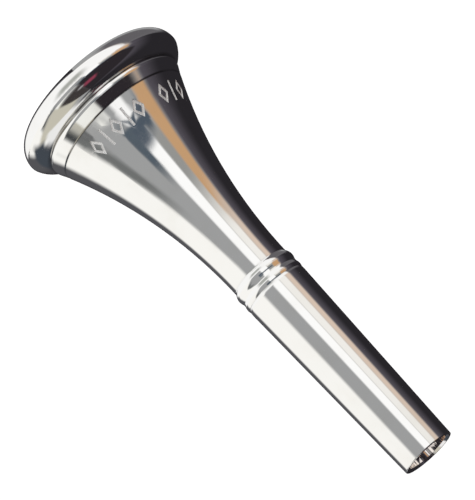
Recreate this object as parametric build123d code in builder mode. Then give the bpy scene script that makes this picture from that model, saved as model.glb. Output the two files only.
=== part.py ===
"""French horn mouthpiece with a screw rim, in five turned pieces on one axis.

+Z is the axis, from the rim to the tip of the shank. The mouthpiece stands on its rim:
z = 0 is the plane that the lips touch. Every length is in millimetres.

The cup is the centre piece. The rim screws onto its wide end over a loose spacer ring, and
the shank screws into its narrow end through a loose collar ring, so each end comes off with
its ring. Both threads are right-hand.
"""
import math
import os

from build123d import *

# Outside
TOTAL_LENGTH = 65.2
RIM_DIAMETER = 25.0
NECK_DIAMETER = 8.46
SHANK_DIAMETER = 8.88
SHANK_TAPER = 1 / 20
FLARE_RADIUS = 67.2

# Air way
BITE_DIAMETER = 17.5
THROAT_DIAMETER = 4.5
BACKBORE_DIAMETER = 6.2
FUNNEL_LIP = 0.15

# Heights of the joints between pieces
CUP_TOP = 1.9
RIM_UNDERSIDE = 4.55
CUP_SHOULDER = 6.7
NECK_END = 33.65
SHANK_SHOULDER = 36.6
SPIGOT_END = 30.0
FUNNEL_END = 36.0
THROAT_END = 40.0

# Rim section
CREST_INNER_RADIUS = 9.6
CREST_OUTER_RADIUS = 10.1
WIDEST_HEIGHT = 2.5
KNUCKLE_RADIUS = 0.8
KNUCKLE_TURN = 25.0
UNDERSIDE_RADIUS = 10.4
BITE_HEIGHT = 1.3

# Spacer ring section
BAND_TOP_RADIUS = 10.42
BAND_SHOULDER_RADIUS = 10.52
BAND_SHOULDER_HEIGHT = 5.35

# Threads: a ridge keeps these shares of the pitch at its root and at its crest
ROOT_SHARE = 0.66
CREST_SHARE = 0.14
RIDGE_SINK = 0.08
RIM_PITCH = 0.75
RIM_THREAD_RADIUS = 9.5
RIM_THREAD_DEPTH = 0.40
RIM_THREAD_RUN_IN = 0.35
RIM_MALE_TURNS = 2.6
RIM_FEMALE_TURNS = 2.1
SHANK_PITCH = 0.5
SHANK_THREAD_RADIUS = 3.2
SHANK_THREAD_DEPTH = 0.27
SHANK_THREAD_RUN_IN = 0.4
SHANK_THREAD_TURNS = 5.8
THREAD_CLEARANCE = 0.09
SLIDING_CLEARANCE = 0.05
LAND_RELIEF = 0.05
SOCKET_RELIEF = 0.1

# Collar ring section: heights above the neck's end, and radii
COLLAR_START_RADIUS = 4.24
FILLET_HEIGHT = 0.25
FILLET_RADIUS = 4.34
BEAD_HEIGHT = 0.80
BEAD_RADIUS = 4.53
HOLLOW_START = 1.45
HOLLOW_MIDDLE = 1.80
HOLLOW_END = 2.15
HOLLOW_EDGE_RADIUS = 4.43
HOLLOW_RADIUS = 4.37
RIDGE_HEIGHT = 2.50
RIDGE_RADIUS = 4.49
COLLAR_END_RADIUS = 4.40

# Edges
SEAM_BREAK = 0.10
SHANK_EDGE_DEPTH = 0.07
SHANK_EDGE_LENGTH = 0.55
TIP_ROUND = 0.12
BORE_BREAK = 0.3

# Engraved band of lozenges and bars under the spacer ring
ENGRAVED_HEIGHT = 9.2
ENGRAVED_LENGTH = 2.8
ENGRAVED_STROKE = 0.34
ENGRAVED_DEPTH = 0.10
LOZENGE_WIDTH = 1.7
MOTIF_STEP = 12.0
FRONT_ANGLE = -85.0
SIDE_ANGLE = -149.0
FRONT_MOTIFS = 5
SIDE_MOTIFS = 3

neck_radius = NECK_DIAMETER / 2
throat_radius = THROAT_DIAMETER / 2
backbore_radius = BACKBORE_DIAMETER / 2
rim_bore_radius = RIM_THREAD_RADIUS + THREAD_CLEARANCE
socket_radius = SHANK_THREAD_RADIUS + THREAD_CLEARANCE
funnel_mouth_radius = BITE_DIAMETER / 2 - FUNNEL_LIP


def flare_radius_at(z):
    """Outside radius of the cup: one arc that runs tangent into the neck."""
    drop = NECK_END - z
    return neck_radius + FLARE_RADIUS - math.sqrt(FLARE_RADIUS**2 - drop**2)


def funnel_arc_radius():
    """Radius of the arc that joins the cup's mouth to the throat, tangent at the throat."""
    rise = FUNNEL_END - CUP_TOP
    spread = funnel_mouth_radius - throat_radius
    return (rise**2 + spread**2) / (2 * spread)


def funnel_radius_at(z):
    """Inside radius of the funnel at height z."""
    arc = funnel_arc_radius()
    return throat_radius + arc - math.sqrt(arc**2 - (FUNNEL_END - z) ** 2)


def shank_radius_at(z):
    """Outside radius of the tapered shank at height z."""
    return SHANK_DIAMETER / 2 - (z - SHANK_SHOULDER) * SHANK_TAPER / 2


def thread_ridge(pitch, turns, start, root_radius, crest_radius):
    """Right-hand helical ridge from root_radius to crest_radius, sunk a little into its wall."""
    outward = 1 if crest_radius > root_radius else -1
    root = pitch * ROOT_SHARE / 2
    crest = pitch * CREST_SHARE / 2
    depth = abs(crest_radius - root_radius)
    with BuildPart() as ridge:
        with BuildLine(Plane.XY.offset(start)) as path:
            Helix(pitch, pitch * turns, root_radius)
        section = Plane(origin=path.line @ 0, x_dir=(1, 0, 0), z_dir=path.line % 0)
        with BuildSketch(section):
            with BuildLine():
                Polyline(
                    (-outward * RIDGE_SINK, root),
                    (0, root),
                    (outward * depth, crest),
                    (outward * depth, -crest),
                    (0, -root),
                    (-outward * RIDGE_SINK, -root),
                    close=True,
                )
            make_face()
        sweep(path=path.line, is_frenet=True)
    return ridge.part


def surface_plane(angle, z):
    """Plane that touches the outside of the cup, with local y towards the shank."""
    radius = flare_radius_at(z)
    slope = math.asin((NECK_END - z) / FLARE_RADIUS)
    turn = math.radians(angle)
    outward = Vector(math.cos(turn), math.sin(turn), 0)
    normal = outward * math.cos(slope) + Vector(0, 0, math.sin(slope))
    return Plane(
        origin=outward * radius + Vector(0, 0, z),
        x_dir=(-math.sin(turn), math.cos(turn), 0),
        z_dir=normal,
    )


# Spirals of both joints. The two ridges of a joint lie half a pitch apart.
rim_thread_start = CUP_TOP + RIM_THREAD_RUN_IN
rim_thread_root = RIM_THREAD_RADIUS - RIM_THREAD_DEPTH
rim_male = thread_ridge(
    RIM_PITCH, RIM_MALE_TURNS, rim_thread_start, rim_thread_root, RIM_THREAD_RADIUS
)
rim_female = thread_ridge(
    RIM_PITCH,
    RIM_FEMALE_TURNS,
    rim_thread_start + RIM_PITCH / 2,
    rim_bore_radius,
    rim_bore_radius - RIM_THREAD_DEPTH,
)
shank_thread_start = SPIGOT_END + SHANK_THREAD_RUN_IN
shank_thread_root = SHANK_THREAD_RADIUS - SHANK_THREAD_DEPTH
shank_male = thread_ridge(
    SHANK_PITCH, SHANK_THREAD_TURNS, shank_thread_start, shank_thread_root, SHANK_THREAD_RADIUS
)
shank_female = thread_ridge(
    SHANK_PITCH,
    SHANK_THREAD_TURNS,
    shank_thread_start + SHANK_PITCH / 2,
    socket_radius,
    socket_radius - SHANK_THREAD_DEPTH,
)

os.makedirs("parts", exist_ok=True)

# Rim: rounded bead with a narrow flat crest, a tight turn at its widest place, an inner bite
# edge and an internal thread
with BuildPart() as rim:
    with BuildSketch(Plane.XZ):
        with BuildLine():
            Line((CREST_INNER_RADIUS, 0), (CREST_OUTER_RADIUS, 0))
            EllipticalCenterArc(
                center=(CREST_OUTER_RADIUS, WIDEST_HEIGHT),
                x_radius=RIM_DIAMETER / 2 - CREST_OUTER_RADIUS,
                y_radius=WIDEST_HEIGHT,
                start_angle=-90,
                arc_size=90,
            )
            knuckle = CenterArc(
                center=(RIM_DIAMETER / 2 - KNUCKLE_RADIUS, WIDEST_HEIGHT),
                radius=KNUCKLE_RADIUS,
                start_angle=0,
                arc_size=KNUCKLE_TURN,
            )
            TangentArc(knuckle @ 1, (UNDERSIDE_RADIUS, RIM_UNDERSIDE), tangent=knuckle % 1)
            Polyline(
                (UNDERSIDE_RADIUS, RIM_UNDERSIDE),
                (rim_bore_radius, RIM_UNDERSIDE),
                (rim_bore_radius, CUP_TOP),
                (funnel_mouth_radius, CUP_TOP),
                (BITE_DIAMETER / 2, BITE_HEIGHT),
            )
            EllipticalCenterArc(
                center=(CREST_INNER_RADIUS, BITE_HEIGHT),
                x_radius=CREST_INNER_RADIUS - BITE_DIAMETER / 2,
                y_radius=BITE_HEIGHT,
                start_angle=180,
                arc_size=90,
            )
        make_face()
    revolve(axis=Axis.Z)
    add(rim_female)
rim.part.label = "rim"
export_step(rim.part, "parts/rim.step")

# Spacer ring: the plain band under the bead, with a rounded shoulder, loose on the cup's land
with BuildPart() as spacer_ring:
    band_bottom = flare_radius_at(CUP_SHOULDER)
    with BuildSketch(Plane.XZ):
        with BuildLine():
            side = Line(
                (band_bottom, CUP_SHOULDER - SEAM_BREAK),
                (BAND_SHOULDER_RADIUS, BAND_SHOULDER_HEIGHT),
            )
            TangentArc(side @ 1, (BAND_TOP_RADIUS, RIM_UNDERSIDE), tangent=side % 1)
            Polyline(
                (BAND_TOP_RADIUS, RIM_UNDERSIDE),
                (RIM_THREAD_RADIUS + SLIDING_CLEARANCE, RIM_UNDERSIDE),
                (RIM_THREAD_RADIUS + SLIDING_CLEARANCE, CUP_SHOULDER),
                (band_bottom - SEAM_BREAK, CUP_SHOULDER),
                (band_bottom, CUP_SHOULDER - SEAM_BREAK),
            )
        make_face()
    revolve(axis=Axis.Z)
spacer_ring.part.label = "spacer_ring"
export_step(spacer_ring.part, "parts/spacer_ring.step")

# Cup: flared funnel with the male rim thread, the shank socket and the engraved motifs
with BuildPart() as cup:
    land_start = RIM_UNDERSIDE - LAND_RELIEF
    flare_top = CUP_SHOULDER + SEAM_BREAK
    flare_middle = (flare_top + NECK_END) / 2
    funnel_middle = (CUP_TOP + SPIGOT_END) / 2
    socket_floor = SPIGOT_END - SOCKET_RELIEF
    with BuildSketch(Plane.XZ):
        with BuildLine():
            Polyline(
                (funnel_mouth_radius, CUP_TOP),
                (rim_thread_root, CUP_TOP),
                (rim_thread_root, land_start),
                (RIM_THREAD_RADIUS, land_start),
                (RIM_THREAD_RADIUS, CUP_SHOULDER),
                (flare_radius_at(flare_top) - SEAM_BREAK, CUP_SHOULDER),
                (flare_radius_at(flare_top), flare_top),
            )
            ThreePointArc(
                (flare_radius_at(flare_top), flare_top),
                (flare_radius_at(flare_middle), flare_middle),
                (neck_radius, NECK_END),
            )
            Polyline(
                (neck_radius, NECK_END),
                (socket_radius, NECK_END),
                (socket_radius, socket_floor),
                (funnel_radius_at(socket_floor), socket_floor),
            )
            ThreePointArc(
                (funnel_radius_at(socket_floor), socket_floor),
                (funnel_radius_at(funnel_middle), funnel_middle),
                (funnel_mouth_radius, CUP_TOP),
            )
        make_face()
    revolve(axis=Axis.Z)
    add(rim_male)
    add(shank_female)
    for first_angle, motifs in ((FRONT_ANGLE, FRONT_MOTIFS), (SIDE_ANGLE, SIDE_MOTIFS)):
        for place in range(motifs):
            angle = first_angle + (place - (motifs - 1) / 2) * MOTIF_STEP
            with BuildSketch(surface_plane(angle, ENGRAVED_HEIGHT)):
                if place % 2:
                    Rectangle(ENGRAVED_STROKE, ENGRAVED_LENGTH)
                else:
                    half_width = LOZENGE_WIDTH / 2
                    half_length = ENGRAVED_LENGTH / 2
                    Polygon(
                        (half_width, 0), (0, half_length), (-half_width, 0), (0, -half_length)
                    )
                    offset(amount=-ENGRAVED_STROKE, mode=Mode.SUBTRACT)
            extrude(amount=ENGRAVED_DEPTH, both=True, mode=Mode.SUBTRACT)
cup.part.label = "cup"
export_step(cup.part, "parts/cup.step")

# Collar ring: a small fillet, a round bead, a hollow and a small ridge, loose on the spigot
with BuildPart() as collar_ring:
    with BuildSketch(Plane.XZ):
        with BuildLine():
            start = (COLLAR_START_RADIUS, NECK_END)
            fillet_end = (FILLET_RADIUS, NECK_END + FILLET_HEIGHT)
            bead_top = (BEAD_RADIUS, NECK_END + BEAD_HEIGHT)
            hollow_start = (HOLLOW_EDGE_RADIUS, NECK_END + HOLLOW_START)
            hollow_floor = (HOLLOW_RADIUS, NECK_END + HOLLOW_MIDDLE)
            ridge_start = (HOLLOW_EDGE_RADIUS, NECK_END + HOLLOW_END)
            ridge_top = (RIDGE_RADIUS, NECK_END + RIDGE_HEIGHT)
            ridge_end = (COLLAR_END_RADIUS, SHANK_SHOULDER)
            TangentArc(start, fillet_end, tangent=(0, 1))
            ThreePointArc(fillet_end, bead_top, hollow_start)
            ThreePointArc(hollow_start, hollow_floor, ridge_start)
            ThreePointArc(ridge_start, ridge_top, ridge_end)
            Polyline(
                ridge_end,
                (SHANK_THREAD_RADIUS + SLIDING_CLEARANCE, SHANK_SHOULDER),
                (SHANK_THREAD_RADIUS + SLIDING_CLEARANCE, NECK_END),
                start,
            )
        make_face()
    revolve(axis=Axis.Z)
collar_ring.part.label = "collar_ring"
export_step(collar_ring.part, "parts/collar_ring.step")

# Shank: threaded spigot with the throat, then a soft edge and the tapered tube with the backbore
with BuildPart() as shank:
    spigot_middle = (SPIGOT_END + FUNNEL_END) / 2
    round_start = TOTAL_LENGTH - TIP_ROUND
    tip_radius = shank_radius_at(round_start)
    edge_end = SHANK_SHOULDER + SHANK_EDGE_LENGTH
    edge_radius = SHANK_DIAMETER / 2 - SHANK_EDGE_DEPTH
    with BuildSketch(Plane.XZ):
        with BuildLine():
            ThreePointArc(
                (funnel_radius_at(SPIGOT_END), SPIGOT_END),
                (funnel_radius_at(spigot_middle), spigot_middle),
                (throat_radius, FUNNEL_END),
            )
            Polyline(
                (throat_radius, FUNNEL_END),
                (throat_radius, THROAT_END),
                (backbore_radius, TOTAL_LENGTH - BORE_BREAK),
                (backbore_radius + BORE_BREAK, TOTAL_LENGTH),
                (tip_radius - TIP_ROUND, TOTAL_LENGTH),
            )
            RadiusArc((tip_radius - TIP_ROUND, TOTAL_LENGTH), (tip_radius, round_start), TIP_ROUND)
            outside = Line((tip_radius, round_start), (shank_radius_at(edge_end), edge_end))
            TangentArc(outside @ 1, (edge_radius, SHANK_SHOULDER), tangent=outside % 1)
            Polyline(
                (edge_radius, SHANK_SHOULDER),
                (SHANK_THREAD_RADIUS, SHANK_SHOULDER),
                (SHANK_THREAD_RADIUS, NECK_END),
                (shank_thread_root, NECK_END),
                (shank_thread_root, SPIGOT_END),
                (funnel_radius_at(SPIGOT_END), SPIGOT_END),
            )
        make_face()
    revolve(axis=Axis.Z)
    add(shank_male)
shank.part.label = "shank"
export_step(shank.part, "parts/shank.step")
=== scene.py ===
"""Silver-plated horn mouthpiece on a pale floor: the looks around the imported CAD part.

The frame is the CAD's: +Z runs along the axis from the rim to the tip of the shank, and the
rim stands on z = 0. Lengths are in metres and angles in degrees.
"""
import math

import bpy
from mathutils import Matrix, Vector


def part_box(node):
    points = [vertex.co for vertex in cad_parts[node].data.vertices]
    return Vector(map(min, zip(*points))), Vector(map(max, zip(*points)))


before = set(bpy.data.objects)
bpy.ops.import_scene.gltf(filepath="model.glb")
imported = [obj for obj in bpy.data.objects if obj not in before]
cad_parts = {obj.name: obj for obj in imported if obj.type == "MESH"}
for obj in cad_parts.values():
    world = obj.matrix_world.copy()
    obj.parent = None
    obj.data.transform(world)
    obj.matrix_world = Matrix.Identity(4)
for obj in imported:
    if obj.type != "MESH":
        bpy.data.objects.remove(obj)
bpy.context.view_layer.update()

MM = 0.001

# Camera: it looks from -Y, a little from above, and is rolled so that the tip points down right
VIEW_ELEVATION = 15.66
VIEW_ROLL = 137.1
VIEW_DISTANCE = 355.9 * MM
AIM = (0.21 * MM, 0.0, 29.34 * MM)
LENS = 212.2
SENSOR = 36.0

FLOOR_SIZE = 1.2
FLOOR_COLOUR = (0.45, 0.45, 0.45, 1)
FLOOR_ROUGHNESS = 0.9
FLOOR_GLOW = 0.97
GLOSSY_BOUNCES = 16

# The flare of the cup: one arc that runs tangent into the neck
NECK_RADIUS = 4.23 * MM
FLARE_RADIUS = 67.2 * MM
NECK_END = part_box("collar_ring")[0].z

# Every pair below is the start and the end of a soft step.
# The engraved strokes lie this deep under the flare, between these two heights.
STROKE_DEPTH = (0.04 * MM, 0.07 * MM)
STROKES_START = (7.2 * MM, 7.4 * MM)
STROKES_END = (11.4 * MM, 11.6 * MM)

# A bore is where the normal's share towards the axis rises through this step
FACING_AXIS = (0.05, 0.25)

# How strongly the silver darkens at each ring's two seams, and how far from the seam it fades
SEAM_DARKENING = (("spacer_ring", 0.8), ("collar_ring", 0.15))
SEAM_FADE = (0.04 * MM, 0.22 * MM)

# Reflectance of the plate, of its dull clouds, of the darkening near the seams, of the bores
# (painted brighter, with a painted pinkish reflection) and of the strokes
BRIGHT_SILVER = (0.97, 0.965, 0.95, 1)
DULL_SILVER = (0.94, 0.93, 0.905, 1)
# Darker silver near the seams
SEAM_DARK_SILVER = (0.40, 0.385, 0.37, 1)
# Inside the bores: silver painted brighter, and pinkish patches that are a painted reflection
BORE_PAINTED_BRIGHT_SILVER = (0.99, 0.985, 0.98, 1)
BORE_PAINTED_REFLECTION = (0.975, 0.945, 0.93, 1)
STROKE_SILVER = (0.99, 0.99, 0.985, 1)

# Roughness of the clean polish, and what clouds, turning lines, hair scratches and strokes add
POLISH_ROUGHNESS = 0.025
CLOUD_ROUGHNESS = 0.05
LINE_ROUGHNESS = 0.03
HAIR_ROUGHNESS = 0.06
STROKE_ROUGHNESS = 0.42
BORE_SMOOTHING = 0.6
STROKE_MATTNESS = 0.8

# Noise: cycles for each metre of length, or for each radian around the axis
CLOUD_SCALE = 260.0
WAVE_SCALE = 120.0
LINE_SCALE = 2600.0
LINE_TURN_SCALE = 1.4
HAIR_SCALE = 420.0
HAIR_TURN_SCALE = 3.0

# Levels of the cloud noise where the seam darkening, dulling and roughness set in, and of the wave
# noise where the bores get their painted pinkish reflection. A hair scratch is this close to the
# middle level of its noise.
SEAM_DARK_LEVELS = (0.2, 0.6)
DULL_LEVELS = (0.45, 0.75)
ROUGH_LEVELS = (0.35, 0.8)
BORE_PAINTED_REFLECTION_LEVELS = (0.35, 0.65)
HAIR_WIDTH = 0.004

# Relief: the waves' full height, and the turning lines' share of it
BUMP_DISTANCE = 0.008 * MM
LINE_HEIGHT = 0.02


def linear(level):
    """Linear light for a display level from 0 to 255."""
    share = level / 255
    if share <= 0.04045:
        return share / 12.92
    return ((share + 0.055) / 1.055) ** 2.4


def shade(*levels):
    """Linear RGBA for a grey or for three display levels."""
    red, green, blue = levels * 3 if len(levels) == 1 else levels
    return (linear(red), linear(green), linear(blue), 1.0)


class Graph:
    """Adds nodes to a shader tree. Inputs are numbers, colours or other nodes' outputs."""

    def __init__(self, tree):
        self.tree = tree

    def node(self, kind, **settings):
        made = self.tree.nodes.new(kind)
        for name, value in settings.items():
            setattr(made, name, value)
        return made

    def plug(self, socket, value):
        if isinstance(value, bpy.types.NodeSocket):
            self.tree.links.new(value, socket)
        else:
            socket.default_value = value

    def math(self, operation, *values):
        made = self.node("ShaderNodeMath", operation=operation)
        for socket, value in zip(made.inputs, values):
            self.plug(socket, value)
        return made.outputs[0]

    def rise(self, value, low, high):
        """0 below low and 1 above high, with a smooth step between."""
        made = self.node("ShaderNodeMapRange", interpolation_type="SMOOTHSTEP")
        self.plug(made.inputs["Value"], value)
        self.plug(made.inputs["From Min"], low)
        self.plug(made.inputs["From Max"], high)
        return made.outputs["Result"]

    def fall(self, value, low, high):
        """1 below low and 0 above high, with a smooth step between."""
        return self.rise(self.math("MULTIPLY", value, -1.0), -high, -low)

    def mix(self, factor, first, second):
        made = self.node("ShaderNodeMix", data_type="RGBA")
        for place, value in ((0, factor), (6, first), (7, second)):
            self.plug(made.inputs[place], value)
        return made.outputs[2]

    def split(self, vector):
        made = self.node("ShaderNodeSeparateXYZ")
        self.plug(made.inputs[0], vector)
        return made.outputs

    def join(self, *values):
        made = self.node("ShaderNodeCombineXYZ")
        for socket, value in zip(made.inputs, values):
            self.plug(socket, value)
        return made.outputs[0]

    def noise(self, vector, scale, detail):
        made = self.node("ShaderNodeTexNoise")
        self.plug(made.inputs["Vector"], vector)
        self.plug(made.inputs["Scale"], scale)
        self.plug(made.inputs["Detail"], detail)
        return made.outputs[0]


# What the polished silver reflects, as large soft cards around the object. Azimuth is counted
# from the camera's side (-Y) towards -X, and elevation from the horizon up to the tip.
# Each is: name, azimuth from and to, its softness, elevation from and to, its softness, the
# azimuth that its upright edges lose for each degree of elevation, and its colour.
CARDS = (
    ("white_wall", -155, -57, 7, -90, 90, 4, 1.04, shade(250, 249, 246)),
    ("wall_corner", -57, -36, 7, 4, 32, 6, 1.04, shade(112, 114, 114)),
    ("wall_top", -115, -42, 6, 28, 75, 5, 0, shade(196, 192, 178)),
    ("dark_corner", -200, -129, 7, -90, 90, 4, 0, shade(84, 84, 88)),
    ("door", -170, -112, 8, 14, 38, 4, 0, shade(66, 72, 80)),
    ("corner_end", -215, -166, 12, -90, 90, 4, 0, shade(40, 38, 42)),
    ("ceiling_left", -175, -100, 6, 42, 75, 5, 0, shade(236)),
    ("window", 1, 29, 4, -90, 17, 2, 0, shade(255)),
    ("window_head", -12, 46, 3, 16, 22.5, 1.5, 0, shade(78, 88, 100)),
    ("window_side", -12, 3, 3, 10, 22.5, 4, 0, shade(84, 94, 104)),
    ("window_high", 4, 26, 4, 22.5, 29, 1, 0, shade(250)),
    ("pale_wall", 28, 50, 3, -90, 16, 2, 0, shade(150, 150, 148)),
    ("pale_foot", 28, 54, 4, -90, -1, 9, 0, shade(242, 240, 236)),
    ("warm_wall", 48, 72, 4, -4, 26, 5, 0, shade(196, 156, 116)),
    ("warm_foot", 54, 74, 5, -90, -3, 8, 0, shade(216, 196, 180)),
    ("dark_room", 73, 220, 6, -24, 100, 5, 0, shade(84, 80, 88)),
    ("dark_back", 92, 220, 22, -24, 100, 5, 0, shade(40, 38, 42)),
    ("corner_top", -78, -50, 3, 21, 27, 2, 0, shade(66, 68, 70)),
    ("ceiling_light", -50, -8, 3, 25.5, 36, 2, 0, shade(240, 240, 236)),
    ("ceiling_left_patch", -46, -6, 4, 38, 100, 4, 0, shade(62, 58, 58)),
    ("ceiling_patch", -8, 84, 4, 28, 100, 2, 0, shade(44, 40, 44)),
    ("ceiling_red", -4, 22, 5, 48, 60, 4, 0, shade(140, 62, 82)),
    ("ceiling_speck", -14, -4, 3, 47, 53, 2, 0, shade(160, 158, 160)),
    ("table", -150, 72, 4, -90, -20, 3, 0, shade(250)),
    ("table_shadow", -40, 10, 12, -56, -32, 8, 0, shade(170, 172, 168)),
    ("table_edge", 72, 145, 8, -70, -22, 6, 0, shade(98, 96, 100)),
)
ROOM = shade(158, 159, 160)
PALE = shade(255)


def studio():
    """World that is plain and pale to the camera, and a soft room of large cards to the silver."""
    world = bpy.data.worlds.new("studio")
    bpy.context.scene.world = world
    world.use_nodes = True
    world.cycles.sampling_method = "NONE"
    tree = world.node_tree
    tree.nodes.clear()
    g = Graph(tree)
    direction = g.node("ShaderNodeTexCoord").outputs["Generated"]
    x, y, z = g.split(direction)
    towards_camera = g.math("MULTIPLY", y, -1.0)
    azimuth = g.math("DEGREES", g.math("ARCTAN2", g.math("MULTIPLY", x, -1.0), towards_camera))
    elevation = g.math("DEGREES", g.math("ARCSINE", z))
    colour = ROOM
    for _, left, right, side_soft, low, high, end_soft, slant, card in CARDS:
        edge = g.math("MULTIPLY_ADD", elevation, slant, azimuth)
        sides = [
            g.rise(edge, left - side_soft, left + side_soft),
            g.fall(edge, right - side_soft, right + side_soft),
            g.rise(elevation, low - end_soft, low + end_soft),
            g.fall(elevation, high - end_soft, high + end_soft),
        ]
        cover = sides[0]
        for side in sides[1:]:
            cover = g.math("MULTIPLY", cover, side)
        colour = g.mix(cover, colour, card)
    seen = g.node("ShaderNodeLightPath").outputs["Is Camera Ray"]
    background = g.node("ShaderNodeBackground")
    g.plug(background.inputs["Color"], g.mix(seen, colour, PALE))
    out = g.node("ShaderNodeOutputWorld")
    g.plug(out.inputs["Surface"], background.outputs[0])


def new_material(name):
    """Material with one Principled shader: the material, its graph and the shader."""
    material = bpy.data.materials.new(name)
    material.use_nodes = True
    material.node_tree.nodes.clear()
    g = Graph(material.node_tree)
    shader = g.node("ShaderNodeBsdfPrincipled")
    out = g.node("ShaderNodeOutputMaterial")
    g.plug(out.inputs["Surface"], shader.outputs[0])
    return material, g, shader


def silver_plate():
    """Bright plate with faint clouds, turning lines and scratches, a little darker near the seams,
    and a painted brightening and painted pinkish reflection inside the bores.
    """
    material, g, shader = new_material("silver_plate")
    coords = g.node("ShaderNodeTexCoord")
    place = coords.outputs["Object"]
    x, y, z = g.split(place)
    radius = g.math("SQRT", g.math("MULTIPLY_ADD", x, x, g.math("MULTIPLY", y, y)))
    turn = g.math("ARCTAN2", y, x)

    # Inside of the bores: the surface faces the axis
    nx, ny, _ = g.split(coords.outputs["Normal"])
    outward = g.math("DIVIDE", g.math("MULTIPLY_ADD", nx, x, g.math("MULTIPLY", ny, y)), radius)
    inside = g.rise(g.math("MULTIPLY", outward, -1.0), *FACING_AXIS)
    outside = g.math("SUBTRACT", 1.0, inside)

    # Engraved strokes: the surface lies below the flare of the cup
    drop = g.math("SUBTRACT", NECK_END, z)
    under = g.math("SQRT", g.math("SUBTRACT", FLARE_RADIUS**2, g.math("MULTIPLY", drop, drop)))
    depth = g.math("SUBTRACT", g.math("SUBTRACT", NECK_RADIUS + FLARE_RADIUS, under), radius)
    band = g.math("MULTIPLY", g.rise(z, *STROKES_START), g.fall(z, *STROKES_END))
    stroke = g.math("MULTIPLY", g.rise(depth, *STROKE_DEPTH), band)
    engraved = g.math("MULTIPLY", stroke, outside)

    # Seams, near which the silver is made a little darker
    seam = 0.0
    for name, strength in SEAM_DARKENING:
        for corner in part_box(name):
            away = g.math("ABSOLUTE", g.math("SUBTRACT", z, corner.z))
            near = g.math("SUBTRACT", 1.0, g.rise(away, *SEAM_FADE))
            seam = g.math("MAXIMUM", seam, g.math("MULTIPLY", near, strength))

    # Marks of the surface: soft clouds, fine turning lines, low waves and hair scratches
    cloud = g.noise(place, CLOUD_SCALE, detail=6.0)
    along = g.math("MULTIPLY", z, LINE_SCALE)
    around = g.math("MULTIPLY", turn, LINE_TURN_SCALE)
    lines = g.noise(g.join(around, along, 0.0), scale=1.0, detail=5.0)
    wave = g.noise(place, WAVE_SCALE, detail=2.0)
    along = g.math("MULTIPLY", z, HAIR_SCALE)
    around = g.math("MULTIPLY", turn, HAIR_TURN_SCALE)
    contour = g.noise(g.join(around, along, radius), scale=1.0, detail=2.0)
    away = g.math("ABSOLUTE", g.math("SUBTRACT", contour, 0.5))
    hair = g.math("SUBTRACT", 1.0, g.rise(away, 0.0, HAIR_WIDTH))

    # Darker silver near the seams, in patches of the cloud noise
    seam_dark_share = g.math("MULTIPLY", seam, g.rise(cloud, *SEAM_DARK_LEVELS))
    tint = g.mix(g.rise(cloud, *DULL_LEVELS), BRIGHT_SILVER, DULL_SILVER)
    tint = g.mix(seam_dark_share, tint, SEAM_DARK_SILVER)
    # Painted light in the bores: brighter silver with pinkish patches of painted reflection
    bore_painted_light = g.mix(g.rise(wave, *BORE_PAINTED_REFLECTION_LEVELS), BORE_PAINTED_BRIGHT_SILVER, BORE_PAINTED_REFLECTION)
    tint = g.mix(inside, tint, bore_painted_light)
    tint = g.mix(engraved, tint, STROKE_SILVER)
    g.plug(shader.inputs["Base Color"], tint)
    g.plug(shader.inputs["Metallic"], g.math("MULTIPLY_ADD", engraved, -STROKE_MATTNESS, 1.0))

    clouded = g.rise(cloud, *ROUGH_LEVELS)
    rough = g.math("MULTIPLY_ADD", clouded, CLOUD_ROUGHNESS, POLISH_ROUGHNESS)
    rough = g.math("MULTIPLY_ADD", lines, LINE_ROUGHNESS, rough)
    rough = g.math("MULTIPLY_ADD", hair, HAIR_ROUGHNESS, rough)
    rough = g.math("MULTIPLY", rough, g.math("MULTIPLY_ADD", inside, -BORE_SMOOTHING, 1.0))
    rough = g.math("MULTIPLY_ADD", engraved, STROKE_ROUGHNESS, rough)
    g.plug(shader.inputs["Roughness"], rough)

    height = g.math("MULTIPLY_ADD", lines, LINE_HEIGHT, wave)
    height = g.math("MULTIPLY", height, outside)
    bump = g.node("ShaderNodeBump")
    bump.inputs["Strength"].default_value = 1.0
    bump.inputs["Distance"].default_value = BUMP_DISTANCE
    g.plug(bump.inputs["Height"], height)
    g.plug(shader.inputs["Normal"], bump.outputs[0])
    return material


def floor():
    """Pale backdrop under the rim that the silver does not reflect."""
    material, _, shader = new_material("floor")
    shader.inputs["Base Color"].default_value = FLOOR_COLOUR
    shader.inputs["Roughness"].default_value = FLOOR_ROUGHNESS
    shader.inputs["Emission Color"].default_value = PALE
    shader.inputs["Emission Strength"].default_value = FLOOR_GLOW
    half = FLOOR_SIZE / 2
    mesh = bpy.data.meshes.new("floor")
    corners = [(-half, -half, 0), (half, -half, 0), (half, half, 0), (-half, half, 0)]
    mesh.from_pydata(corners, [], [(0, 1, 2, 3)])
    mesh.materials.append(material)
    made = bpy.data.objects.new("floor", mesh)
    bpy.context.scene.collection.objects.link(made)
    made.visible_glossy = False


def camera():
    """The photograph's view: a long lens, rolled about its line of sight."""
    data = bpy.data.cameras.new("camera")
    data.lens = LENS
    data.sensor_width = SENSOR
    data.sensor_fit = "HORIZONTAL"
    made = bpy.data.objects.new("camera", data)
    bpy.context.scene.collection.objects.link(made)
    place = Matrix.Translation(AIM)
    place = place @ Matrix.Rotation(math.radians(90 - VIEW_ELEVATION), 4, "X")
    place = place @ Matrix.Rotation(math.radians(VIEW_ROLL), 4, "Z")
    place = place @ Matrix.Translation((0, 0, VIEW_DISTANCE))
    made.matrix_world = place
    bpy.context.scene.camera = made


silver = silver_plate()
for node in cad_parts.values():
    node.data.materials.clear()
    node.data.materials.append(silver)

floor()
studio()
camera()
bpy.context.scene.view_settings.view_transform = "Standard"
bpy.context.scene.cycles.max_bounces = GLOSSY_BOUNCES
bpy.context.scene.cycles.glossy_bounces = GLOSSY_BOUNCES
